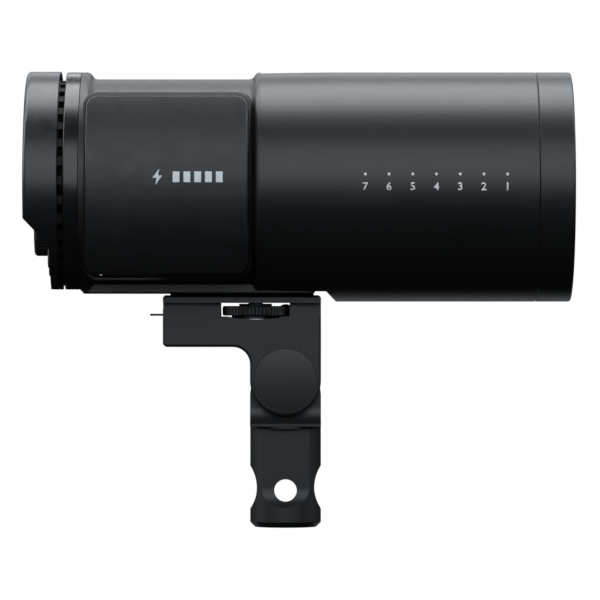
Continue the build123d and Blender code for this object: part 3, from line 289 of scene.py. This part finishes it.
def phosphor(name):
    """Yellow LED phosphor in a square grid."""
    shader = Shader(name, (0.9, 0.72, 0.18), 0.5)
    cells = shader.add("ShaderNodeTexVoronoi", feature="F1", distance="CHEBYCHEV")
    cells.inputs["Scale"].default_value = 600.0
    cells.inputs["Randomness"].default_value = 0.0
    shader.link(shader.coords, cells.inputs["Vector"])
    shader.mix_colour(shader.remap(cells.outputs["Distance"], 0.3, 0.5, 0.0, 0.6), (0.75, 0.5, 0.08))
    return shader.material


BLACK = 0.006  # grey level of the black finishes
# by the record's material slots
MATERIALS = {
    "anodised_black": anodised("tube_anodised", BLACK, 0.38, "x"),
    "anodised_gloss": anodised("trim_anodised", BLACK, 0.24, "turned"),
    "forged_black": anodised("bracket_anodised", 0.008, 0.44, "x"),
    "body_polymer": polymer("body_polymer", BLACK, 0.45),
    "soft_black": rubber("soft_black"),
    "front_glass": frosted_glass("frosted_glass"),
    "display_glass": dark_glass("display_glass"),
    "reflector": hammered_reflector("hammered_reflector"),
    "quartz": clear_glass("quartz"),
    "ceramic": polymer("ceramic", 0.7, 0.5, 0.5, 0.02),
    "led_phosphor": phosphor("led_phosphor"),
    "bare_aluminium": bare_metal("bare_aluminium", (0.72, 0.73, 0.74), 0.35, (0.08, 1, 1)),
    "capacitor_sleeve": sleeve("capacitor_sleeve", (0.01, 0.03, 0.11)),
    "circuit_board": circuit_board("circuit_board"),
    "cell_sleeve": sleeve("cell_sleeve", (0.02, 0.22, 0.13)),
    "contact_gold": bare_metal("contact_gold", (0.83, 0.62, 0.26), 0.25),
    "black_plastic": polymer("black_plastic", 0.016, 0.5, 0.25, 0.02),
    "button_grey": polymer("button_grey", 0.05, 0.5, 0.2, 0.015),
    "zinc_steel": bare_metal("zinc_steel", (0.55, 0.55, 0.56), 0.3),
    "black_steel": bare_metal("black_steel", (0.05, 0.05, 0.052), 0.38),
    "brass": bare_metal("brass", (0.72, 0.5, 0.2), 0.28),
    "copper_tape": bare_metal("copper_tape", (0.6, 0.42, 0.1), 0.4),
}

# nodes with a finish of their own
OWN_FINISH = {
    "rear_cap": polymer("cap_polymer", BLACK, 0.34),
    "vent_spacer": rubber("vent_spacer", 0.0015),
}


def dress_frame():
    """Gives every CAD node the material of its slot, or its own variant of it."""
    for row in frame["record"]["subparts"]:
        name = row["node"]
        node = NODES[name]
        node.data.materials.clear()
        node.data.materials.append(OWN_FINISH.get(name, MATERIALS[row["material_slot"]]))


dress_frame()


# ---------------------------------------------------------------- printed detail
BOLDER = 0.018  # more makes the outlines of some numbers cross


def lettering(text, height):
    """Flat filled mesh of one text, height metres tall and centred on its origin."""
    curve = bpy.data.curves.new("lettering", "FONT")
    curve.body = text
    curve.offset = BOLDER
    holder = bpy.data.objects.new("lettering", curve)
    mesh = bpy.data.meshes.new_from_object(holder)
    bpy.data.objects.remove(holder)
    xs = [v.co.x for v in mesh.vertices]
    ys = [v.co.y for v in mesh.vertices]
    scale = height / (max(ys) - min(ys))
    middle = Vector(((max(xs) + min(xs)) / 2, (max(ys) + min(ys)) / 2, 0))
    for vertex in mesh.vertices:
        vertex.co = (vertex.co - middle) * scale
    return mesh


class Print:
    """Flat artwork in millimetres that is laid on a CAD node's surface as a thin closed film."""

    FILM = 0.03 * MM
    LIFT = 0.01 * MM  # gap under the film
    LONGEST_EDGE = 1.5 * MM  # short enough to follow a curved surface
    PASSES = 4
    BOLT = ((0.12, 0.5), (-0.3, -0.06), (-0.04, -0.06), (-0.12, -0.5), (0.3, 0.08), (0.04, 0.08))

    def __init__(self):
        self.art = bmesh.new()

    def text(self, text, height, x, y):
        mesh = lettering(text, height * MM)
        mesh.transform(Matrix.Translation((x * MM, y * MM, 0)))
        self.art.from_mesh(mesh)
        bpy.data.meshes.remove(mesh)

    def polygon(self, points):
        self.art.faces.new([self.art.verts.new((x * MM, y * MM, 0)) for x, y in points])

    def bar(self, x, y, width, height):
        w, h = width / 2, height / 2
        self.polygon([(x - w, y - h), (x + w, y - h), (x + w, y + h), (x - w, y + h)])

    def frame(self, x, y, width, height, line):
        self.bar(x, y - height / 2, width + line, line)
        self.bar(x, y + height / 2, width + line, line)
        self.bar(x - width / 2, y, line, height - line)
        self.bar(x + width / 2, y, line, height - line)

    def disc(self, x, y, radius, steps=24):
        turns = [2 * math.pi * i / steps for i in range(steps)]
        self.polygon([(x + radius * math.cos(t), y + radius * math.sin(t)) for t in turns])

    def arc(self, x, y, radius, line, start=0.0, end=360.0, steps=40):
        """Ring, or part of one, as a row of four-sided faces."""
        turns = [math.radians(start + (end - start) * i / steps) for i in range(steps + 1)]
        for low, high in zip(turns, turns[1:]):
            self.polygon([
                (x + r * math.cos(t), y + r * math.sin(t))
                for r, t in (
                    (radius - line / 2, low),
                    (radius + line / 2, low),
                    (radius + line / 2, high),
                    (radius - line / 2, high),
                )
            ])

    def bolt(self, x, y, height):
        """Lightning bolt."""
        self.polygon([(x + height * u, y + height * v) for u, v in self.BOLT])

    def lay(self, name, node, body, origin, right, up, material):
        """Drops the artwork on node, from a plane at origin, and makes it ride on body."""
        right, up = Vector(right), Vector(up)
        outward = right.cross(up)
        bmesh.ops.remove_doubles(self.art, verts=self.art.verts, dist=1e-6)
        bmesh.ops.triangulate(self.art, faces=self.art.faces)
        for _ in range(self.PASSES):
            long_edges = [e for e in self.art.edges if e.calc_length() > self.LONGEST_EDGE]
            if not long_edges:
                break
            bmesh.ops.subdivide_edges(self.art, edges=long_edges, cuts=1)
            bmesh.ops.triangulate(self.art, faces=self.art.faces)
        surface = BVHTree.FromObject(NODES[node], bpy.context.evaluated_depsgraph_get())
        for vertex in self.art.verts:
            start = Vector(origin) + right * vertex.co.x + up * vertex.co.y
            hit = surface.ray_cast(start, -outward)[0]
            vertex.co = (hit or start) + outward * (self.LIFT + self.FILM)
        for face in self.art.faces:
            face.normal_update()
            if face.normal.dot(outward) < 0:
                face.normal_flip()
        bmesh.ops.solidify(self.art, geom=self.art.faces[:], thickness=self.FILM)
        mesh = bpy.data.meshes.new(name)
        self.art.to_mesh(mesh)
        self.art.free()
        mesh.materials.append(material)
        piece = bpy.data.objects.new(name, mesh)
        bpy.context.scene.collection.objects.link(piece)
        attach(piece, body)


def white_ink(name, grey):
    """Pad-printed ink, a little uneven and worn."""
    shader = Shader(name, (grey, grey, grey), 0.55)
    shader.mix_colour(
        shader.remap(shader.noise(1400.0, detail=4.0), 0.45, 0.8, 0.0, 0.5),
        (grey * 0.6, grey * 0.6, grey * 0.62),
    )
    shader.vary_roughness(shader.noise(600.0), 0.08)
    return shader.material


def lit_segments(name, colour, strength):
    """Glowing display segments, with a fine grid of dots in their brightness."""
    shader = Shader(name, (0.02, 0.02, 0.02), 0.3)
    shader.set("Emission Color", (*colour, 1.0))
    cells = shader.add("ShaderNodeTexVoronoi", feature="F1", distance="CHEBYCHEV")
    cells.inputs["Scale"].default_value = 6000.0
    cells.inputs["Randomness"].default_value = 0.0
    shader.link(shader.coords, cells.inputs["Vector"])
    shader.link(
        shader.remap(cells.outputs["Distance"], 0.35, 0.5, strength, strength * 0.7),
        shader.bsdf.inputs["Emission Strength"],
    )
    return shader.material


INK = white_ink("white_ink", 0.8)
GLOW = lit_segments("display_glow", (0.85, 0.93, 1.0), 1.6)
DIM_GLOW = lit_segments("display_glow_dim", (0.35, 0.5, 0.65), 0.8)

SCALE_NUMBERS = (7, 6, 5, 4, 3, 2, 1)
SCALE_START = 34.2  # mm, X of the first number
SCALE_PITCH = 10.12
SCALE_DIGIT = 3.4  # height of the numbers
DIGIT_DROP = 0.8  # of their middles below the axis
DOT_RISE = 4.5
DOT_R = 0.62
PRINT_PLANE = 0.1  # metres from the axis, clear of everything


def zoom_scale(name, side):
    """Zoom marks on one side of the tube. side is -1 for the battery side, 1 for the far one."""
    art = Print()
    for i, number in enumerate(SCALE_NUMBERS):
        x = -side * (SCALE_START + SCALE_PITCH * i)
        art.text(str(number), SCALE_DIGIT, x, -DIGIT_DROP)
        art.disc(x, DOT_RISE, DOT_R)
    art.lay(
        name, "front_tube", "head", (0, side * PRINT_PLANE, AXIS_Z), (-side, 0, 0), (0, 0, 1), INK,
    )


CHARGE_X = -41.0  # mm, middle of the charge mark on the battery
CHARGE_RISE = 3.2
CHARGE_BOLT = (-13.5, 7.0)  # X and height
CHARGE_BARS = 5
CHARGE_BAR = (2.9, 4.6)  # width and height
CHARGE_BAR_PITCH = 4.6


def charge_mark():
    """Generic charge symbol on the battery: a bolt and five level bars."""
    art = Print()
    art.bolt(CHARGE_BOLT[0], 0, CHARGE_BOLT[1])
    for i in range(CHARGE_BARS):
        art.bar(-5.5 + CHARGE_BAR_PITCH * i, 0, *CHARGE_BAR)
    art.lay(
        "charge_mark", "battery_cover", "battery", (CHARGE_X * MM, -PRINT_PLANE, AXIS_Z + CHARGE_RISE * MM),
        (1, 0, 0), (0, 0, 1), INK,
    )


def facing_back(node):
    """Point behind the middle of a node, for artwork that is read from behind."""
    low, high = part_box(node)
    return (low.x - 0.02, (low.y + high.y) / 2, (low.z + high.z) / 2)


LEVEL_LEFT = -21.0
LEVEL_PITCH = 2.0
LEVEL_Y = -9.0
LEVEL_BAR = (1.1, 2.6)
LEVELS = 22
LEVELS_LIT = 15
TICKS = 11
CLOCK = (18.5, 2.0)


def display():
    """Power reading, level scale and battery state, on the display window."""
    bright = Print()
    bright.text("7.0", 11.0, -3.0, 2.0)
    bright.frame(19.0, 11.0, 6.0, 3.0, 0.4)
    bright.bar(22.6, 11.0, 0.8, 1.4)
    for i in range(3):
        bright.bar(17.2 + 1.8 * i, 11.0, 1.2, 2.0)
    bright.bolt(-20.5, 10.5, 4.5)
    for i in range(LEVELS_LIT):
        bright.bar(LEVEL_LEFT + LEVEL_PITCH * i, LEVEL_Y, *LEVEL_BAR)
    bright.lay(
        "display_reading", "display_window", "head", facing_back("display_window"),
        (0, -1, 0), (0, 0, 1), GLOW,
    )
    dim = Print()
    for i in range(LEVELS_LIT, LEVELS):
        dim.bar(LEVEL_LEFT + LEVEL_PITCH * i, LEVEL_Y, *LEVEL_BAR)
    for i in range(TICKS):
        dim.bar(LEVEL_LEFT + 4.2 * i, -12.0, 0.25, 1.2 if i % 5 else 2.0)
    # clock: ring, minute hand and hour hand
    dim.arc(*CLOCK, 3.0, 0.4)
    dim.bar(CLOCK[0], CLOCK[1] + 0.8, 0.4, 1.8)
    dim.bar(CLOCK[0] + 0.7, CLOCK[1], 1.6, 0.4)
    dim.lay(
        "display_scale", "display_window", "head", facing_back("display_window"),
        (0, -1, 0), (0, 0, 1), DIM_GLOW,
    )


def power_icon(art):
    """Open ring with a bar in its gap."""
    art.arc(0, 0, 1.5, 0.35, -235, 55)
    art.bar(0, 1.1, 0.35, 1.6)


def test_icon(art):
    art.bolt(0, 0, 4.0)


RAYS = 8
RAY = (1.4, 2.1)  # from and to this radius
RAY_HALF = 0.15


def lamp_icon(art):
    """Small circle with rays."""
    art.arc(0, 0, 0.9, 0.35)
    for i in range(RAYS):
        turn = 2 * math.pi * i / RAYS
        c, s = math.cos(turn), math.sin(turn)
        corners = ((RAY[0], RAY_HALF), (RAY[0], -RAY_HALF), (RAY[1], -RAY_HALF), (RAY[1], RAY_HALF))
        art.polygon([(along * c - across * s, along * s + across * c) for along, across in corners])


def menu_icon(art):
    """Three bars."""
    for i in (-1, 0, 1):
        art.bar(0, 1.1 * i, 3.2, 0.4)


BUTTON_ICONS = {
    "power_button": power_icon,
    "test_button": test_icon,
    "model_button": lamp_icon,
    "menu_button": menu_icon,
}


def button_icons():
    """A sign on each push button, which moves with it."""
    for button, draw in BUTTON_ICONS.items():
        art = Print()
        draw(art)
        art.lay(
            f"{button}_icon", button, button, facing_back(button), (0, -1, 0), (0, 0, 1), INK,
        )


def dial_mark():
    """Pointer line on the dial, which turns with it."""
    pointer = Print()
    pointer.bar(0, 7.0, 0.7, 2.4)
    pointer.lay(
        "dial_pointer", "control_dial", "control_dial", facing_back("control_dial"),
        (0, -1, 0), (0, 0, 1), INK,
    )


zoom_scale("zoom_scale_near", -1)
zoom_scale("zoom_scale_far", 1)
charge_mark()
display()
button_icons()
dial_mark()


# ---------------------------------------------------------------- stage
CAMERA_DISTANCE = 2.2
CAMERA_X = 6.3 * MM
CAMERA_Z = 98.9 * MM
FRAME_WIDTH = 0.262  # what the picture's width shows at the object, in metres
SENSOR = 36.0
FLOOR_Z = -0.15  # the object hangs on a stand, so the tilted head stays above the floor
FLOOR_HALF = 30.0
LIGHT_DISTANCE = 1.5
LIGHT_LENGTH = 2.4
END_LIGHT_SIZE = 1.0
AMBIENT = 0.012
WARM, COOL = (0.94, 1.0, 1.05), (0.89, 1.0, 1.09)
# name, angle around the head's axis, width in degrees, power in watts, colour
LIGHTS = (
    ("front_fill", 22, 42, 17.4, COOL),
    ("top_box", 103, 42, 50.0, WARM),
    ("top_back", 150, 16, 6.5, WARM),
    ("low_back", 207, 24, 1.9, COOL),
)
# name, side of X, height angle in degrees, power in watts
END_LIGHTS = (("front_end", 1, 25, 9.0), ("rear_end", -1, 25, 16.0))


def emission(name, strength):
    material = bpy.data.materials.new(name)
    material.use_nodes = True
    tree = material.node_tree
    tree.nodes.clear()
    out = tree.nodes.new("ShaderNodeOutputMaterial")
    glow = tree.nodes.new("ShaderNodeEmission")
    glow.inputs["Strength"].default_value = strength
    tree.links.new(glow.outputs["Emission"], out.inputs["Surface"])
    return material


def floor():
    """White floor that lights nothing and doesn't show in reflections."""
    mesh = bpy.data.meshes.new("floor")
    corners = [(x * FLOOR_HALF, y * FLOOR_HALF, 0) for x, y in ((-1, -1), (1, -1), (1, 1), (-1, 1))]
    mesh.from_pydata(corners, [], [(0, 1, 2, 3)])
    plane = bpy.data.objects.new("floor", mesh)
    plane.location.z = FLOOR_Z
    plane.data.materials.append(emission("floor_white", 1.0))
    bpy.context.scene.collection.objects.link(plane)
    plane.visible_glossy = False
    plane.visible_diffuse = False


def area_light(name, size, power, colour, place, turn):
    lamp = bpy.data.lights.new(name, "AREA")
    lamp.shape = "RECTANGLE"
    lamp.size, lamp.size_y = size
    lamp.energy = power
    lamp.color = colour
    light = bpy.data.objects.new(name, lamp)
    light.location = place
    light.rotation_euler = turn
    light.visible_camera = False
    bpy.context.scene.collection.objects.link(light)


def strip_light(name, angle, width, power, colour):
    """Strip light along the head's axis: 0 degrees is the camera's side and 90 straight up."""
    turn = math.radians(angle)
    height = 2 * LIGHT_DISTANCE * math.tan(math.radians(width / 2))
    place = (0, -LIGHT_DISTANCE * math.cos(turn), AXIS_Z + LIGHT_DISTANCE * math.sin(turn))
    area_light(name, (LIGHT_LENGTH, height), power, colour, place, (math.radians(90) - turn, 0, 0))


def end_light(name, side, angle, power):
    """Soft light beyond one end of the head, for its front glass or its display."""
    turn = math.radians(angle)
    place = (side * LIGHT_DISTANCE * math.cos(turn), 0, AXIS_Z + LIGHT_DISTANCE * math.sin(turn))
    tip = side * (math.radians(90) - turn)
    area_light(name, (END_LIGHT_SIZE, END_LIGHT_SIZE), power, COOL, place, (0, tip, 0))


def world():
    """White to the camera, and a faint glow to everything else."""
    made = bpy.data.worlds.new("studio")
    made.use_nodes = True
    tree = made.node_tree
    background = tree.nodes["Background"]
    background.inputs["Color"].default_value = (1, 1, 1, 1)
    path = tree.nodes.new("ShaderNodeLightPath")
    level = tree.nodes.new("ShaderNodeMapRange")
    level.inputs["To Min"].default_value = AMBIENT
    level.inputs["To Max"].default_value = 1.0
    tree.links.new(path.outputs["Is Camera Ray"], level.inputs["Value"])
    tree.links.new(level.outputs["Result"], background.inputs["Strength"])
    bpy.context.scene.world = made


def camera():
    data = bpy.data.cameras.new("camera")
    data.sensor_width = SENSOR
    data.lens = SENSOR * CAMERA_DISTANCE / FRAME_WIDTH
    data.clip_start, data.clip_end = 0.05, 100.0
    made = bpy.data.objects.new("camera", data)
    made.location = (CAMERA_X, -CAMERA_DISTANCE, CAMERA_Z)
    made.rotation_euler = (math.radians(90), 0, 0)
    bpy.context.scene.collection.objects.link(made)
    bpy.context.scene.camera = made


def studio():
    floor()
    world()
    camera()
    bpy.context.scene.view_settings.view_transform = "Standard"
    for light in LIGHTS:
        strip_light(*light)
    for light in END_LIGHTS:
        end_light(*light)


studio()
